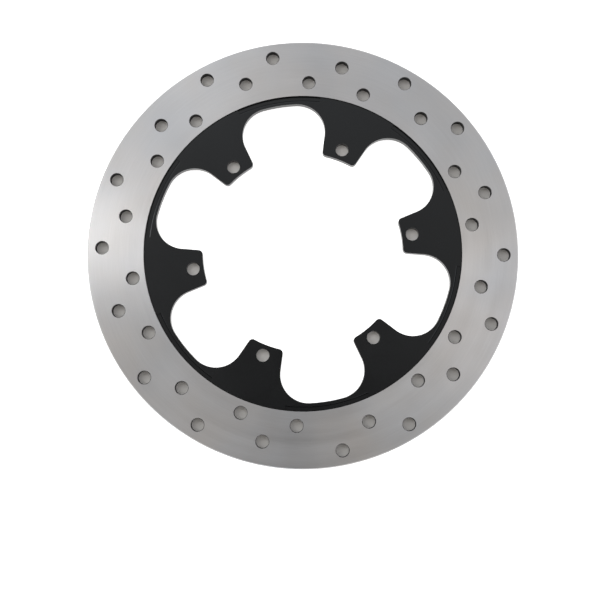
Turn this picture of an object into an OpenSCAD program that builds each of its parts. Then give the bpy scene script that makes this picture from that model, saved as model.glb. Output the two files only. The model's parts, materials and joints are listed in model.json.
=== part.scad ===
// Six-bolt motorcycle brake disc rotor: a drilled steel friction ring riveted behind
// the rim of a black carrier with six mounting lugs.
// The disc lies flat. z = 0 is the rear mounting face of the lugs, +Z points out of
// the front of the disc, and the first lug lies on +X.

/* [Friction ring] */
// Outer diameter of the disc
disc_d = 300; // [296:1:310]
// Inner diameter of the ground braking face
face_inner_d = 221.8; // [220:0.1:223]
// Thickness between the two braking faces
ring_t = 5.5; // [5:0.1:6.5]
// Height of the rear braking face above the mounting face
ring_lift = 0.5; // [0.3:0.1:0.8]
// Chamfer round the outer edges of the braking faces
ring_chamfer = 0.6; // [0.2:0.1:1]

/* [Vent holes] */
// Diameter of each drilled vent hole
vent_d = 9; // [6:0.1:9.5]
// Chamfer at both ends of each vent hole
vent_chamfer = 0.3; // [0.1:0.05:0.4]
// Angle from a lug to the first vent hole of the next group
vent_start = 29.7; // [28:0.1:31]
// Angle by which one of the groups is drilled out of step with the others
vent_slip = 2.4; // [0:0.1:3]

/* [Carrier] */
// Thickness of the carrier plate
carrier_t = 5; // [4.8:0.1:5.4]
// Diameter of the central opening between the lug tips
opening_d = 139.8; // [136:0.1:142]
// Diameter of the circle that the scallops between the lugs reach
scallop_d = 210.4; // [208:0.1:211]
// Radius of the curve that joins a lug side to the outer edge of a scallop
scallop_corner_r = 19.6; // [16:0.1:22]
// Width of a lug at its bolt hole
lug_w = 27.7; // [25:0.1:29]
// Angle between a lug side and the centre line of the lug
lug_taper = 13.5; // [12:0.1:15]
// Radius of the corners of a lug tip
tip_r = 3; // [1:0.1:4]

/* [Bolt holes] */
// Diameter of the bolt circle
bolt_pcd = 154.6; // [152:0.1:156]
// Diameter of each bolt hole
bolt_d = 9; // [8.4:0.1:10]
// Chamfer at both ends of each bolt hole
bolt_chamfer = 0.2; // [0.1:0.05:0.6]

/* [Lap joint] */
// Height above the mounting face at which the ring and the carrier lap
lap_z = 3; // [2.8:0.1:3.2]
// Thickness of the flange and tabs of the ring behind the carrier
flange_t = 1.8; // [1.5:0.1:2]
// Width of the full-thickness rim of the carrier beyond a scallop
rim_w = 2.4; // [2:0.1:2.6]
// Clearance between the ring and the carrier
fit_gap = 0.15; // [0.05:0.05:0.25]
// Width of the full-height land between a scallop and the step in the front of the rim
step_land = 1.7; // [1.5:0.1:1.9]
// Depth of the step, and radius of its rounded shoulder
step_depth = 1.1; // [0.4:0.1:1.2]
// Half of the angle that each step covers
step_half_angle = 15.5; // [12:0.5:16]

/* [Rivets] */
// Diameter of a rivet shank
rivet_d = 5; // [4:0.1:5.4]
// Diameter of a rivet head
rivet_head_d = 7; // [6:0.1:7.2]
// Height of the rear head of a rivet
rivet_head_h = 0.9; // [0.6:0.1:1]
// Thickness of the carrier in front of each blind rivet hole
rivet_skin = 0.8; // [0.6:0.1:1.2]
// Diameter of the circle on which the rivets lie
rivet_pcd = 209.6; // [209:0.1:210.5]
// Angle between a rivet and the centre line of its lug
rivet_angle = 11; // [9:0.1:11.4]

/* [Hidden] */
$fn = 144;
lugs = 6;
lug_pitch = 360 / lugs;
past = 1;                       // overrun of a cutting shape past a face
bite = 0.02;                    // depth by which a corner circle crosses the edges that it joins

disc_r = disc_d / 2;
face_inner_r = face_inner_d / 2;
ring_top = ring_lift + ring_t;
opening_r = opening_d / 2;
scallop_r = scallop_d / 2;
bolt_r = bolt_pcd / 2;
bolt_hole_r = bolt_d / 2;

// One group of vent holes: the angle of each from the first hole, and its distance from the centre.
vent_angles = [0, 9.9, 20.2, 30.3, 39.3, 49.2];
vent_radii = disc_r * [0.932, 0.84, 0.932, 0.797, 0.894, 0.804];
slipped_group = 4;
vent_r = vent_d / 2;

// The side of a lug is a straight line, and a scallop corner is a circle that just crosses that
// line and the outer circle of the scallop. side_out is the distance from the disc centre to
// the line, and corner_at is the centre of the circle, both seen from a lug on +X.
side_out = lug_w / 2 * cos(lug_taper) - bolt_r * sin(lug_taper);
corner_out = side_out + scallop_corner_r - bite;
corner_far = scallop_r - scallop_corner_r + bite;
corner_along = sqrt(corner_far * corner_far - corner_out * corner_out);
function along_side(along, out) = [
    along * cos(lug_taper) - out * sin(lug_taper),
    along * sin(lug_taper) + out * cos(lug_taper)
];
corner_at = along_side(corner_along, corner_out);
corner_angle = atan2(corner_at[1], corner_at[0]);

// The rounded tip of a lug: the centre of the circle that just crosses the side and the opening.
tip_far = opening_r + tip_r - bite;
tip_out = side_out - tip_r + bite;
tip_along = sqrt(tip_far * tip_far - tip_out * tip_out);
tip_at = along_side(tip_along, tip_out);
tip_angle = atan2(tip_at[1], tip_at[0]);

rim_r = scallop_r + rim_w;
pocket_r = 101;
pocket_half_angle = 14.3;
tab_half_angle = 14;
step_r = scallop_r + step_land;
flange_z = lap_z - flange_t;

rivet_r = rivet_d / 2;
rivet_head_r = rivet_head_d / 2;
rivet_end_z = carrier_t - rivet_skin;
rivet_chamfer = 0.3;
rivet_names = [for (i = [1 : 2 * lugs]) str("rivet_", i)];

module each_lug() {
    for (i = [0 : lugs - 1]) rotate(i * lug_pitch) children();
}

// A straight hole from z = bottom to z = top, with a chamfer at both ends.
module drilled(r, bottom, top, chamfer) {
    translate([0, 0, bottom - past]) cylinder(r = r, h = top - bottom + 2 * past);
    translate([0, 0, bottom]) cylinder(r1 = r + chamfer, r2 = r, h = chamfer);
    translate([0, 0, bottom - past]) cylinder(r = r + chamfer, h = past);
    translate([0, 0, top - chamfer]) cylinder(r1 = r, r2 = r + chamfer, h = chamfer);
    translate([0, 0, top]) cylinder(r = r + chamfer, h = past);
}

// A wedge of a flat ring, centred on +X.
module ring_sector(inner, outer, half_angle, height) {
    rotate(-half_angle)
        rotate_extrude(angle = 2 * half_angle)
            translate([inner, 0]) square([outer - inner, height]);
}

// The cut between two lugs. It takes everything between the two lug sides out to the scallop's
// outer circle, with a round corner at each end.
module scallop() {
    side_start = along_side(0, side_out);
    side_end = along_side(corner_along, side_out);
    far = (scallop_r + past) / cos(lug_pitch / 2 - corner_angle);
    intersection() {
        circle(r = scallop_r);
        polygon([
            [0, 0],
            far * [cos(corner_angle), sin(corner_angle)],
            far * [cos(lug_pitch - corner_angle), sin(lug_pitch - corner_angle)]
        ]);
    }
    for (side = [0, 1])
        rotate(side * lug_pitch) mirror([0, side]) {
            polygon([[0, 0], side_start, side_end, corner_at]);
            translate(corner_at) circle(r = scallop_corner_r);
        }
}

// What rounds off one corner of a lug tip: the space between the sharp corner and its circle.
module tip_corner() {
    difference() {
        polygon([
            tip_at,
            (opening_r - tip_r) * [cos(tip_angle), sin(tip_angle)],
            along_side(tip_along - 2 * tip_r, side_out + tip_r),
            along_side(tip_along, side_out + tip_r)
        ]);
        translate(tip_at) circle(r = tip_r);
    }
}

module carrier_outline() {
    difference() {
        circle(r = face_inner_r - fit_gap);
        circle(r = opening_r);
        each_lug() scallop();
        each_lug() for (side = [0, 1]) mirror([0, side]) tip_corner();
    }
}

// The place of each rivet: number n of 1 to 12, two to a lug.
module at_rivet(n) {
    lug = floor((n - 1) / 2);
    side = n % 2 == 1 ? -1 : 1;
    rotate(lug * lug_pitch + side * rivet_angle) translate([rivet_pcd / 2, 0, 0]) children();
}

// A drive rivet on its own axis: a low rear head, and a shank that ends inside the carrier.
module rivet_body() {
    head_z = flange_z - rivet_head_h;
    edge = rivet_head_h / 2;
    rotate_extrude()
        polygon([
            [0, head_z],
            [rivet_head_r - edge, head_z],
            [rivet_head_r, head_z + edge],
            [rivet_head_r, flange_z],
            [rivet_r, flange_z],
            [rivet_r, rivet_end_z - rivet_chamfer],
            [rivet_r - rivet_chamfer, rivet_end_z],
            [0, rivet_end_z]
        ]);
}

module friction_ring() {
    color("silver")
    difference() {
        union() {
            rotate_extrude()
                polygon([
                    [face_inner_r, ring_lift],
                    [disc_r - ring_chamfer, ring_lift],
                    [disc_r, ring_lift + ring_chamfer],
                    [disc_r, ring_top - ring_chamfer],
                    [disc_r - ring_chamfer, ring_top],
                    [face_inner_r, ring_top],
                    [face_inner_r, lap_z],
                    [rim_r + 2 * fit_gap, lap_z],
                    [rim_r + 2 * fit_gap, flange_z],
                    [face_inner_r, flange_z]
                ]);
            translate([0, 0, flange_z])
                each_lug()
                    ring_sector(pocket_r + 2 * fit_gap, face_inner_r - past, tab_half_angle, flange_t);
        }
        for (group = [0 : lugs - 1], i = [0 : len(vent_angles) - 1]) {
            slip = group == slipped_group ? vent_slip : 0;
            rotate(group * lug_pitch + vent_start + slip + vent_angles[i])
                translate([vent_radii[i], 0, 0])
                    drilled(vent_r, ring_lift, ring_top, vent_chamfer);
        }
        for (n = [1 : 2 * lugs]) at_rivet(n) cylinder(r = rivet_r, h = ring_top);
    }
}

module carrier() {
    rabbet_h = lap_z + past;
    color([0.08, 0.08, 0.085])
    difference() {
        linear_extrude(carrier_t) carrier_outline();
        // rear rabbet for the flange, and a pocket behind each lug root for a tab
        translate([0, 0, -past]) difference() {
            cylinder(r = disc_r, h = rabbet_h);
            translate([0, 0, -past]) cylinder(r = rim_r, h = rabbet_h + 2 * past);
        }
        translate([0, 0, -past])
            each_lug() ring_sector(pocket_r, face_inner_r, pocket_half_angle, rabbet_h);
        // step in the front of the rim over each scallop, with a rounded shoulder
        rotate(lug_pitch / 2 - step_half_angle)
            each_lug()
                rotate_extrude(angle = 2 * step_half_angle)
                    translate([step_r, carrier_t - step_depth])
                        difference() {
                            square([face_inner_r - step_r + past, step_depth + past]);
                            circle(r = step_depth);
                        }
        each_lug() translate([bolt_r, 0, 0]) drilled(bolt_hole_r, 0, carrier_t, bolt_chamfer);
        for (n = [1 : 2 * lugs]) at_rivet(n) cylinder(r = rivet_r, h = rivet_end_z);
    }
}

module rivet(n) {
    color([0.11, 0.11, 0.115]) at_rivet(n) rivet_body();
}

friction_ring();
carrier();
for (n = [1 : 2 * lugs])
    rivet(n);
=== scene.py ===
"""The looks of a six-bolt motorcycle brake disc rotor that lies face up on a pale floor."""

import json
import math

import bpy
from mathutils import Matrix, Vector


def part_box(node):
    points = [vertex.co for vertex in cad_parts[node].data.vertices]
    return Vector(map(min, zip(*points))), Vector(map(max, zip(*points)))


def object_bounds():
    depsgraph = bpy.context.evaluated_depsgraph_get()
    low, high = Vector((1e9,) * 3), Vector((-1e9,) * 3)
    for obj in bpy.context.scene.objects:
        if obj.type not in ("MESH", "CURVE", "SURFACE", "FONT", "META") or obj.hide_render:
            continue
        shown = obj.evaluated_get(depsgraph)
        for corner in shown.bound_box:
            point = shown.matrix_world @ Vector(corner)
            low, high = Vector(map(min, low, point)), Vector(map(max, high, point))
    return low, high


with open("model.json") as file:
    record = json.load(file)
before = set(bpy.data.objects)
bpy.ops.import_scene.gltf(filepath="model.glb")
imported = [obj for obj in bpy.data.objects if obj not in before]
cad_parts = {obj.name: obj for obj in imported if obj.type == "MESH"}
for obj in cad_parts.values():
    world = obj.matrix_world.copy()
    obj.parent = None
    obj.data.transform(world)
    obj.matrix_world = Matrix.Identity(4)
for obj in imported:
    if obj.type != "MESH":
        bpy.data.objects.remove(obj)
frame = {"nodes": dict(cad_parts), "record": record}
cad_low, cad_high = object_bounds()

MM = 0.001


def rgb(red, green, blue):
    return (red, green, blue, 1.0)


def shade(colour, factor):
    """The colour made darker or lighter."""
    return rgb(*(factor * part for part in colour[:3]))


# ---------------------------------------------------------------- sizes from the frame

ring_low, ring_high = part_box("friction_ring")
_, carrier_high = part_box("carrier")
DISC_R = ring_high.y
RING_TOP = ring_high.z
RING_BOTTOM = ring_low.z
# the ground face starts just outside the carrier
FACE_R = carrier_high.y + 0.1 * MM

bolts = next(mount for mount in frame["record"]["mounts"] if mount["name"] == "hub_bolts")["dims"]
BOLT_CIRCLE_R = bolts["pcd_mm"] / 2 * MM
BOLT_HOLE_R = bolts["hole_r_mm"] * MM
LUG_PITCH = 2 * math.pi / bolts["count"]

# ---------------------------------------------------------------- settings of the materials

# A noise mostly stays between these two values.
NOISE_LOW = 0.3
NOISE_HIGH = 0.7

# Where the ring is ground: this far below each face, so that its chamfers stay coated, and this
# far in from the outer edge, with a border that wanders by the last value.
GROUND_DEPTH = 0.03 * MM
GROUND_EDGE = 1.0 * MM
GROUND_WANDER = 0.02 * MM
WANDER_SCALE = 1200.0

# Grinding marks: noise scale along the circles, scale across them, and detail.
GRIND_BANDS = (1.6, 160.0, 2.0)
GRIND_LINES = (3.0, 1500.0, 3.0)
GRIND_HAIRS = (9.0, 5200.0, 2.0)

STEEL_DARK = rgb(0.428, 0.43, 0.436)
STEEL_LIGHT = rgb(0.468, 0.47, 0.476)
COOL_TINT = rgb(0.975, 0.995, 1.02)
WARM_TINT = rgb(1.025, 1.0, 0.975)
TINT_SCALE = 14.0
TINT_REACH = (0.35, 0.65)
SHEEN_SCALE = 24.0
SHEEN = (0.95, 1.05)
STEEL_ROUGH = (0.30, 0.36)
STEEL_PATCH_SCALE = 5.0
STEEL_PATCH_ROUGH = 0.02
STEEL_STRETCH = 0.8
# A quarter turn lays the stretched highlight across the marks.
STEEL_STRETCH_TURN = 0.25
STEEL_BUMP = 0.12

COAT_TINT = rgb(0.0010, 0.0013, 0.0018)
COAT_SHINE_TINT = rgb(0.93, 0.97, 1.0)
COAT_GLOSS = 0.36
COAT_CLOUD_SCALE = 35.0
COAT_PEEL_SCALE = 420.0
COAT_SPECK_SCALE = 900.0
COAT_CLOUD_ROUGH = 0.03
COAT_SPECK_ROUGH = 0.02
COAT_BUMP = 0.1
RING_COAT_ROUGH = 0.42
CARRIER_COAT_ROUGH = 0.23
RIVET_COAT_ROUGH = 0.26

BUMP_DEPTH = 0.02 * MM

FLOOR_DARK = rgb(0.80, 0.80, 0.79)
FLOOR_LIGHT = rgb(0.83, 0.83, 0.82)
# Painted shade: the darker floor colour under the friction ring and under the bolt holes.
FLOOR_PAINTED_SHADE = rgb(0.71, 0.70, 0.68)
FLOOR_CLOUD_SCALE = 3.0
FLOOR_ROUGH = 0.9
FLOOR_SHINE = 0.1
# Painted light: how brightly the floor glows where the disc doesn't lie over it.
FLOOR_PAINTED_LIGHT = 0.7
# The floor's patches of painted shade, where it doesn't glow and is painted darker, reach past each
# bolt hole and past the inner edge of the ring's face, and stop short of its outer edge.
PAINTED_SHADE_PAST_HOLE = 2.5 * MM
PAINTED_SHADE_PAST_FACE = 3 * MM
PAINTED_SHADE_SHORT_OF_EDGE = 1.5 * MM

# ---------------------------------------------------------------- node helpers

# Sockets of the Mix node for each data type: first value, second value, result.
MIX_SOCKETS = {"FLOAT": (2, 3, 0), "RGBA": (6, 7, 2)}


class Nodes:
    """Builds a node tree with short calls."""

    def __init__(self, tree):
        self.tree = tree

    def add(self, kind, **settings):
        node = self.tree.nodes.new(kind)
        for key, value in settings.items():
            setattr(node, key, value)
        return node

    def link(self, source, target):
        """Joins a socket to the target, or sets the target to a plain value."""
        if isinstance(source, bpy.types.NodeSocket):
            self.tree.links.new(source, target)
        else:
            target.default_value = source

    def math(self, operation, first, second=0.0):
        node = self.add("ShaderNodeMath", operation=operation)
        self.link(first, node.inputs[0])
        self.link(second, node.inputs[1])
        return node.outputs[0]

    def weighted(self, first, second, share):
        """A sum with that share of the first value and the rest of the second."""
        return self.math(
            "ADD",
            self.math("MULTIPLY", first, share),
            self.math("MULTIPLY", second, 1.0 - share),
        )

    def dot(self, vector, fixed):
        node = self.add("ShaderNodeVectorMath", operation="DOT_PRODUCT")
        self.link(vector, node.inputs[0])
        self.link(fixed, node.inputs[1])
        return node.outputs["Value"]

    def scaled(self, vector, factor):
        node = self.add("ShaderNodeVectorMath", operation="SCALE")
        self.link(vector, node.inputs[0])
        self.link(factor, node.inputs["Scale"])
        return node.outputs[0]

    def split(self, vector):
        """The three parts of a vector."""
        node = self.add("ShaderNodeSeparateXYZ")
        self.link(vector, node.inputs[0])
        return tuple(node.outputs)

    def joined(self, x=0.0, y=0.0, z=0.0):
        """A vector of three parts."""
        node = self.add("ShaderNodeCombineXYZ")
        for part, socket in zip((x, y, z), node.inputs):
            self.link(part, socket)
        return node.outputs[0]

    def noise(self, vector, scale, detail=2.0, rough=0.5):
        node = self.add("ShaderNodeTexNoise")
        self.link(vector, node.inputs["Vector"])
        node.inputs["Scale"].default_value = scale
        node.inputs["Detail"].default_value = detail
        node.inputs["Roughness"].default_value = rough
        return node.outputs["Fac"]

    def range(self, value, low, high, to_low, to_high, smooth=False):
        """Maps low and high to two other values and stops there, with soft ends if smooth."""
        node = self.add("ShaderNodeMapRange")
        if smooth:
            node.interpolation_type = "SMOOTHSTEP"
        self.link(value, node.inputs["Value"])
        self.link(low, node.inputs["From Min"])
        self.link(high, node.inputs["From Max"])
        self.link(to_low, node.inputs["To Min"])
        self.link(to_high, node.inputs["To Max"])
        return node.outputs[0]

    def spread(self, noise, to_low, to_high):
        """Maps the usual reach of a noise to two other values."""
        return self.range(noise, NOISE_LOW, NOISE_HIGH, to_low, to_high)

    def mix(self, factor, first, second, data_type="RGBA", blend_type="MIX"):
        node = self.add("ShaderNodeMix", data_type=data_type, blend_type=blend_type)
        first_socket, second_socket, result = MIX_SOCKETS[data_type]
        self.link(factor, node.inputs[0])
        self.link(first, node.inputs[first_socket])
        self.link(second, node.inputs[second_socket])
        return node.outputs[result]

    def bump(self, height, strength):
        node = self.add("ShaderNodeBump")
        node.inputs["Strength"].default_value = strength
        node.inputs["Distance"].default_value = BUMP_DEPTH
        self.link(height, node.inputs["Height"])
        return node.outputs[0]


class Finish(Nodes):
    """The node tree of one new material, with its shader and the place on the part in metres."""

    def __init__(self, name):
        self.material = bpy.data.materials.new(name)
        self.material.use_nodes = True
        super().__init__(self.material.node_tree)
        self.shader = self.tree.nodes["Principled BSDF"]
        self.place = self.add("ShaderNodeTexCoord").outputs["Object"]

    def polar(self):
        """The distance from the disc's axis, a unit vector away from the axis, and the height."""
        x, y, height = self.split(self.place)
        flat = self.joined(x, y)
        distance = self.add("ShaderNodeVectorMath", operation="LENGTH")
        self.link(flat, distance.inputs[0])
        outward = self.add("ShaderNodeVectorMath", operation="NORMALIZE")
        self.link(flat, outward.inputs[0])
        return distance.outputs["Value"], outward.outputs["Vector"], height

    def rings(self, radius, outward, along, across, detail):
        """Noise drawn out along circles round the axis: along and across are its scales."""
        lift = self.joined(z=self.math("MULTIPLY", radius, across))
        spot = self.add("ShaderNodeVectorMath", operation="ADD")
        self.link(self.scaled(outward, along), spot.inputs[0])
        self.link(lift, spot.inputs[1])
        return self.noise(spot.outputs["Vector"], 1.0, detail)

    def set(self, **values):
        """Sets sockets of the shader. An underscore in a name stands for a space."""
        for name, value in values.items():
            self.link(value, self.shader.inputs[name.replace("_", " ")])


# ---------------------------------------------------------------- materials


def coating(nodes, rough):
    """Colour, roughness and surface height of a satin black coating."""
    cloud = nodes.noise(nodes.place, COAT_CLOUD_SCALE, detail=3.0)
    speck = nodes.noise(nodes.place, COAT_SPECK_SCALE, rough=0.6)
    peel = nodes.noise(nodes.place, COAT_PEEL_SCALE, detail=1.5)
    colour = nodes.mix(cloud, shade(COAT_TINT, 0.8), shade(COAT_TINT, 1.25))
    roughness = nodes.math(
        "ADD",
        nodes.spread(cloud, rough - COAT_CLOUD_ROUGH, rough + COAT_CLOUD_ROUGH),
        nodes.spread(speck, -COAT_SPECK_ROUGH, COAT_SPECK_ROUGH),
    )
    return colour, roughness, nodes.weighted(peel, speck, 0.7)


def ground_away(nodes, radius, height):
    """1 where grinding has taken the coating off: both braking faces and the outer edge."""
    wander = nodes.spread(nodes.noise(nodes.place, WANDER_SCALE), -GROUND_WANDER, GROUND_WANDER)
    level = nodes.math("ADD", height, wander)
    reach = nodes.math("ADD", radius, wander)
    on_top = nodes.math("GREATER_THAN", level, RING_TOP - GROUND_DEPTH)
    on_bottom = nodes.math("LESS_THAN", level, RING_BOTTOM + GROUND_DEPTH)
    in_band = nodes.math("GREATER_THAN", reach, FACE_R)
    on_edge = nodes.math("GREATER_THAN", reach, DISC_R - GROUND_EDGE)
    on_face = nodes.math("MULTIPLY", nodes.math("MAXIMUM", on_top, on_bottom), in_band)
    return nodes.math("MAXIMUM", on_face, on_edge)


def steel_colour(nodes, lines, hairs):
    """Steel that follows its grinding marks, with slow changes of warmth and brightness."""
    tone = nodes.spread(nodes.weighted(lines, hairs, 0.5), 0.0, 1.0)
    steel = nodes.mix(tone, STEEL_DARK, STEEL_LIGHT)
    cloud = nodes.noise(nodes.place, TINT_SCALE, detail=3.0, rough=0.55)
    tint = nodes.mix(nodes.range(cloud, *TINT_REACH, 0.0, 1.0), COOL_TINT, WARM_TINT)
    sheen = nodes.spread(nodes.noise(nodes.place, SHEEN_SCALE, detail=1.0), *SHEEN)
    return nodes.mix(1.0, steel, nodes.scaled(tint, sheen), blend_type="MULTIPLY")


def ground_steel():
    """Bare steel ground in circles where the pads and the grinder reach, and coating elsewhere."""
    nodes = Finish("ground_steel")
    radius, outward, height = nodes.polar()
    bare = ground_away(nodes, radius, height)
    coat_colour, coat_rough, coat_height = coating(nodes, RING_COAT_ROUGH)

    bands = nodes.rings(radius, outward, *GRIND_BANDS)
    lines = nodes.rings(radius, outward, *GRIND_LINES)
    hairs = nodes.rings(radius, outward, *GRIND_HAIRS)
    patches = nodes.noise(outward, STEEL_PATCH_SCALE)
    steel_rough = nodes.math(
        "ADD",
        nodes.spread(bands, *STEEL_ROUGH),
        nodes.spread(patches, -STEEL_PATCH_ROUGH, STEEL_PATCH_ROUGH),
    )
    surface = nodes.mix(bare, coat_height, nodes.weighted(lines, hairs, 0.6), data_type="FLOAT")
    tangent = nodes.add("ShaderNodeTangent", direction_type="RADIAL", axis="Z")
    nodes.set(
        Base_Color=nodes.mix(bare, coat_colour, steel_colour(nodes, lines, hairs)),
        Metallic=bare,
        Roughness=nodes.mix(bare, coat_rough, steel_rough, data_type="FLOAT"),
        Normal=nodes.bump(surface, STEEL_BUMP),
        Tangent=tangent.outputs[0],
        Anisotropic=STEEL_STRETCH,
        Anisotropic_Rotation=STEEL_STRETCH_TURN,
    )
    return nodes.material


def black_coating(name, rough):
    """Satin black coating all over."""
    nodes = Finish(name)
    colour, roughness, height = coating(nodes, rough)
    nodes.set(
        Base_Color=colour,
        Roughness=roughness,
        Normal=nodes.bump(height, COAT_BUMP),
        Specular_IOR_Level=COAT_GLOSS,
        Specular_Tint=COAT_SHINE_TINT,
    )
    return nodes.material


def bolt_distance(nodes, radius, outward):
    """How far a place on the floor is from the axis of the nearest bolt hole."""
    x, y, _ = nodes.split(outward)
    turns = nodes.math("DIVIDE", nodes.math("ARCTAN2", y, x), LUG_PITCH)
    to_lug = nodes.math("SUBTRACT", turns, nodes.math("ROUND", turns))
    angle = nodes.math("MULTIPLY", to_lug, LUG_PITCH)
    along_lug = nodes.math("MULTIPLY", radius, nodes.math("COSINE", angle))
    across_lug = nodes.math("MULTIPLY", radius, nodes.math("SINE", angle))
    along_lug = nodes.math("SUBTRACT", along_lug, BOLT_CIRCLE_R)
    square = nodes.math("POWER", along_lug, 2.0)
    square = nodes.math("ADD", square, nodes.math("POWER", across_lug, 2.0))
    return nodes.math("SQRT", square)


def pale_floor():
    """A pale floor that glows like a light table as painted light, apart from under the friction
    ring and under the bolt holes, where it is painted darker as painted shade.
    """
    nodes = Finish("pale_floor")
    radius, outward, _ = nodes.polar()
    from_bolt = bolt_distance(nodes, radius, outward)
    clear_of_bolts = nodes.math("GREATER_THAN", from_bolt, BOLT_HOLE_R + PAINTED_SHADE_PAST_HOLE)
    inside = nodes.math("LESS_THAN", radius, FACE_R - PAINTED_SHADE_PAST_FACE)
    outside = nodes.math("GREATER_THAN", radius, DISC_R - PAINTED_SHADE_SHORT_OF_EDGE)
    lit = nodes.math("MAXIMUM", nodes.math("MULTIPLY", inside, clear_of_bolts), outside)

    cloud = nodes.noise(nodes.place, FLOOR_CLOUD_SCALE, detail=3.0)
    table = nodes.mix(cloud, FLOOR_DARK, FLOOR_LIGHT)
    nodes.set(
        # Painted shade: a darker colour under the ring and the bolt holes, and painted light: a
        # glow everywhere else.
        Base_Color=nodes.mix(lit, FLOOR_PAINTED_SHADE, table),
        Roughness=FLOOR_ROUGH,
        Specular_IOR_Level=FLOOR_SHINE,
        Emission_Color=rgb(1, 1, 1),
        Emission_Strength=nodes.math("MULTIPLY", lit, FLOOR_PAINTED_LIGHT),
    )
    return nodes.material


def paint(node, material):
    mesh = frame["nodes"][node].data
    mesh.materials.clear()
    mesh.materials.append(material)


paint("friction_ring", ground_steel())
paint("carrier", black_coating("black_coating", CARRIER_COAT_ROUGH))
rivet_coating = black_coating("rivet_coating", RIVET_COAT_ROUGH)
for name in frame["nodes"]:
    if name.startswith("rivet_"):
        paint(name, rivet_coating)


# ---------------------------------------------------------------- settings of the studio

# The camera looks nearly straight down. Its distance is in disc radii, and so is the place that
# it aims at, measured to the right and up in the picture from the disc's centre.
VIEW_AZIMUTH = -9.07
VIEW_ELEVATION = 84.4
VIEW_DISTANCE = 4.6
VIEW_AIM = (-0.0132, -0.222)
LENS_MM = 59
SENSOR_MM = 36

FLOOR_HALF = 60 * DISC_R
FLOOR_GAP = 0.02 * MM

# Brightness of the room: overhead, overhead on the far side, round the camera, and the walls.
CEILING = rgb(0.80, 0.77, 0.74)
FAR_CEILING = rgb(1.03, 1.03, 1.045)
CAMERA_SIDE = rgb(0.035, 0.025, 0.015)
WALLS = rgb(1.2, 1.2, 1.2)
# Where they change over, as a part of a unit vector that points there: to the far side, to the
# far side again, to either side, and up.
FAR_CEILING_RISE = (0.05, 0.5)
CAMERA_SIDE_FADE = (-0.1, 0.25)
CAMERA_SIDE_WIDTH = 0.22
WALL_FADE = (0.4, 0.58)

# ---------------------------------------------------------------- floor, camera and light


def seen_from(azimuth, elevation, distance):
    """A point that far from the disc's centre. Azimuth 0 is on -Y and 90 is on +X."""
    around = math.radians(azimuth)
    rise = math.radians(elevation)
    flat = math.cos(rise)
    return distance * Vector((math.sin(around) * flat, -math.cos(around) * flat, math.sin(rise)))


def aim(thing, target):
    thing.rotation_euler = (target - thing.location).to_track_quat("-Z", "Y").to_euler()


def picture_right():
    """The level direction that points to the right in the picture."""
    turn = math.radians(VIEW_AZIMUTH)
    return Vector((math.cos(turn), math.sin(turn), 0))


def add_floor():
    half = FLOOR_HALF
    mesh = bpy.data.meshes.new("floor")
    corners = [(-half, -half, 0), (half, -half, 0), (half, half, 0), (-half, half, 0)]
    mesh.from_pydata(corners, [], [(0, 1, 2, 3)])
    mesh.materials.append(pale_floor())
    floor = bpy.data.objects.new("floor", mesh)
    floor.location.z = cad_low[2] - FLOOR_GAP
    bpy.context.scene.collection.objects.link(floor)


def add_camera():
    """Nearly straight down on the disc, aimed a little below its centre."""
    data = bpy.data.cameras.new("camera")
    data.sensor_width = SENSOR_MM
    data.lens = LENS_MM
    camera = bpy.data.objects.new("camera", data)
    bpy.context.scene.collection.objects.link(camera)
    away = seen_from(VIEW_AZIMUTH, VIEW_ELEVATION, 1.0)
    right = picture_right()
    up = away.cross(right)
    target = DISC_R * (VIEW_AIM[0] * right + VIEW_AIM[1] * up)
    camera.location = target + VIEW_DISTANCE * DISC_R * away
    aim(camera, target)
    bpy.context.scene.camera = camera


def softbox(name, around, elevation, distance, width, height, power, tint=(1, 1, 1)):
    """An area light that faces the disc. around is its angle in the picture, from the right."""
    data = bpy.data.lights.new(name, "AREA")
    data.shape = "RECTANGLE"
    data.size = width
    data.size_y = height
    data.energy = power
    data.color = tint
    light = bpy.data.objects.new(name, data)
    light.location = seen_from(VIEW_AZIMUTH + 90 + around, elevation, distance)
    aim(light, Vector((0, 0, 0)))
    bpy.context.scene.collection.objects.link(light)


def add_sky():
    """A soft white room: bright walls, a grey ceiling, and a dark patch where the camera stands."""
    world = bpy.data.worlds.new("studio")
    world.use_nodes = True
    nodes = Nodes(world.node_tree)
    direction = nodes.add("ShaderNodeTexCoord").outputs["Generated"]
    right = picture_right()
    _, _, up = nodes.split(direction)
    side = nodes.dot(direction, tuple(right))
    far = nodes.dot(direction, (-right.y, right.x, 0))

    far_part = nodes.range(far, *FAR_CEILING_RISE, 0.0, 1.0, smooth=True)
    ceiling = nodes.mix(far_part, CEILING, FAR_CEILING)
    near_part = nodes.range(far, *CAMERA_SIDE_FADE, 1.0, 0.0, smooth=True)
    off_side = nodes.math("ABSOLUTE", side)
    middle_part = nodes.range(off_side, 0.0, CAMERA_SIDE_WIDTH, 1.0, 0.0, smooth=True)
    ceiling = nodes.mix(nodes.math("MULTIPLY", near_part, middle_part), ceiling, CAMERA_SIDE)
    wall_part = nodes.range(up, *WALL_FADE, 1.0, 0.0, smooth=True)
    room = nodes.mix(wall_part, ceiling, WALLS)
    nodes.link(room, nodes.tree.nodes["Background"].inputs["Color"])
    bpy.context.scene.world = world


def add_light():
    """A bright strip on the left, and weaker boxes on the right and on the far side."""
    add_sky()
    softbox(
        "left_strip", around=165.5, elevation=40, distance=1.4,
        width=0.4, height=1.0, power=5.9,
    )
    softbox(
        "right_softbox", around=352, elevation=40, distance=1.4,
        width=0.8, height=1.0, power=2.15, tint=(0.93, 0.97, 1.08),
    )
    softbox(
        "far_softbox", around=125, elevation=50, distance=1.6,
        width=1.0, height=1.0, power=2.0,
    )


add_floor()
add_camera()
add_light()
bpy.context.scene.view_settings.view_transform = "Standard"
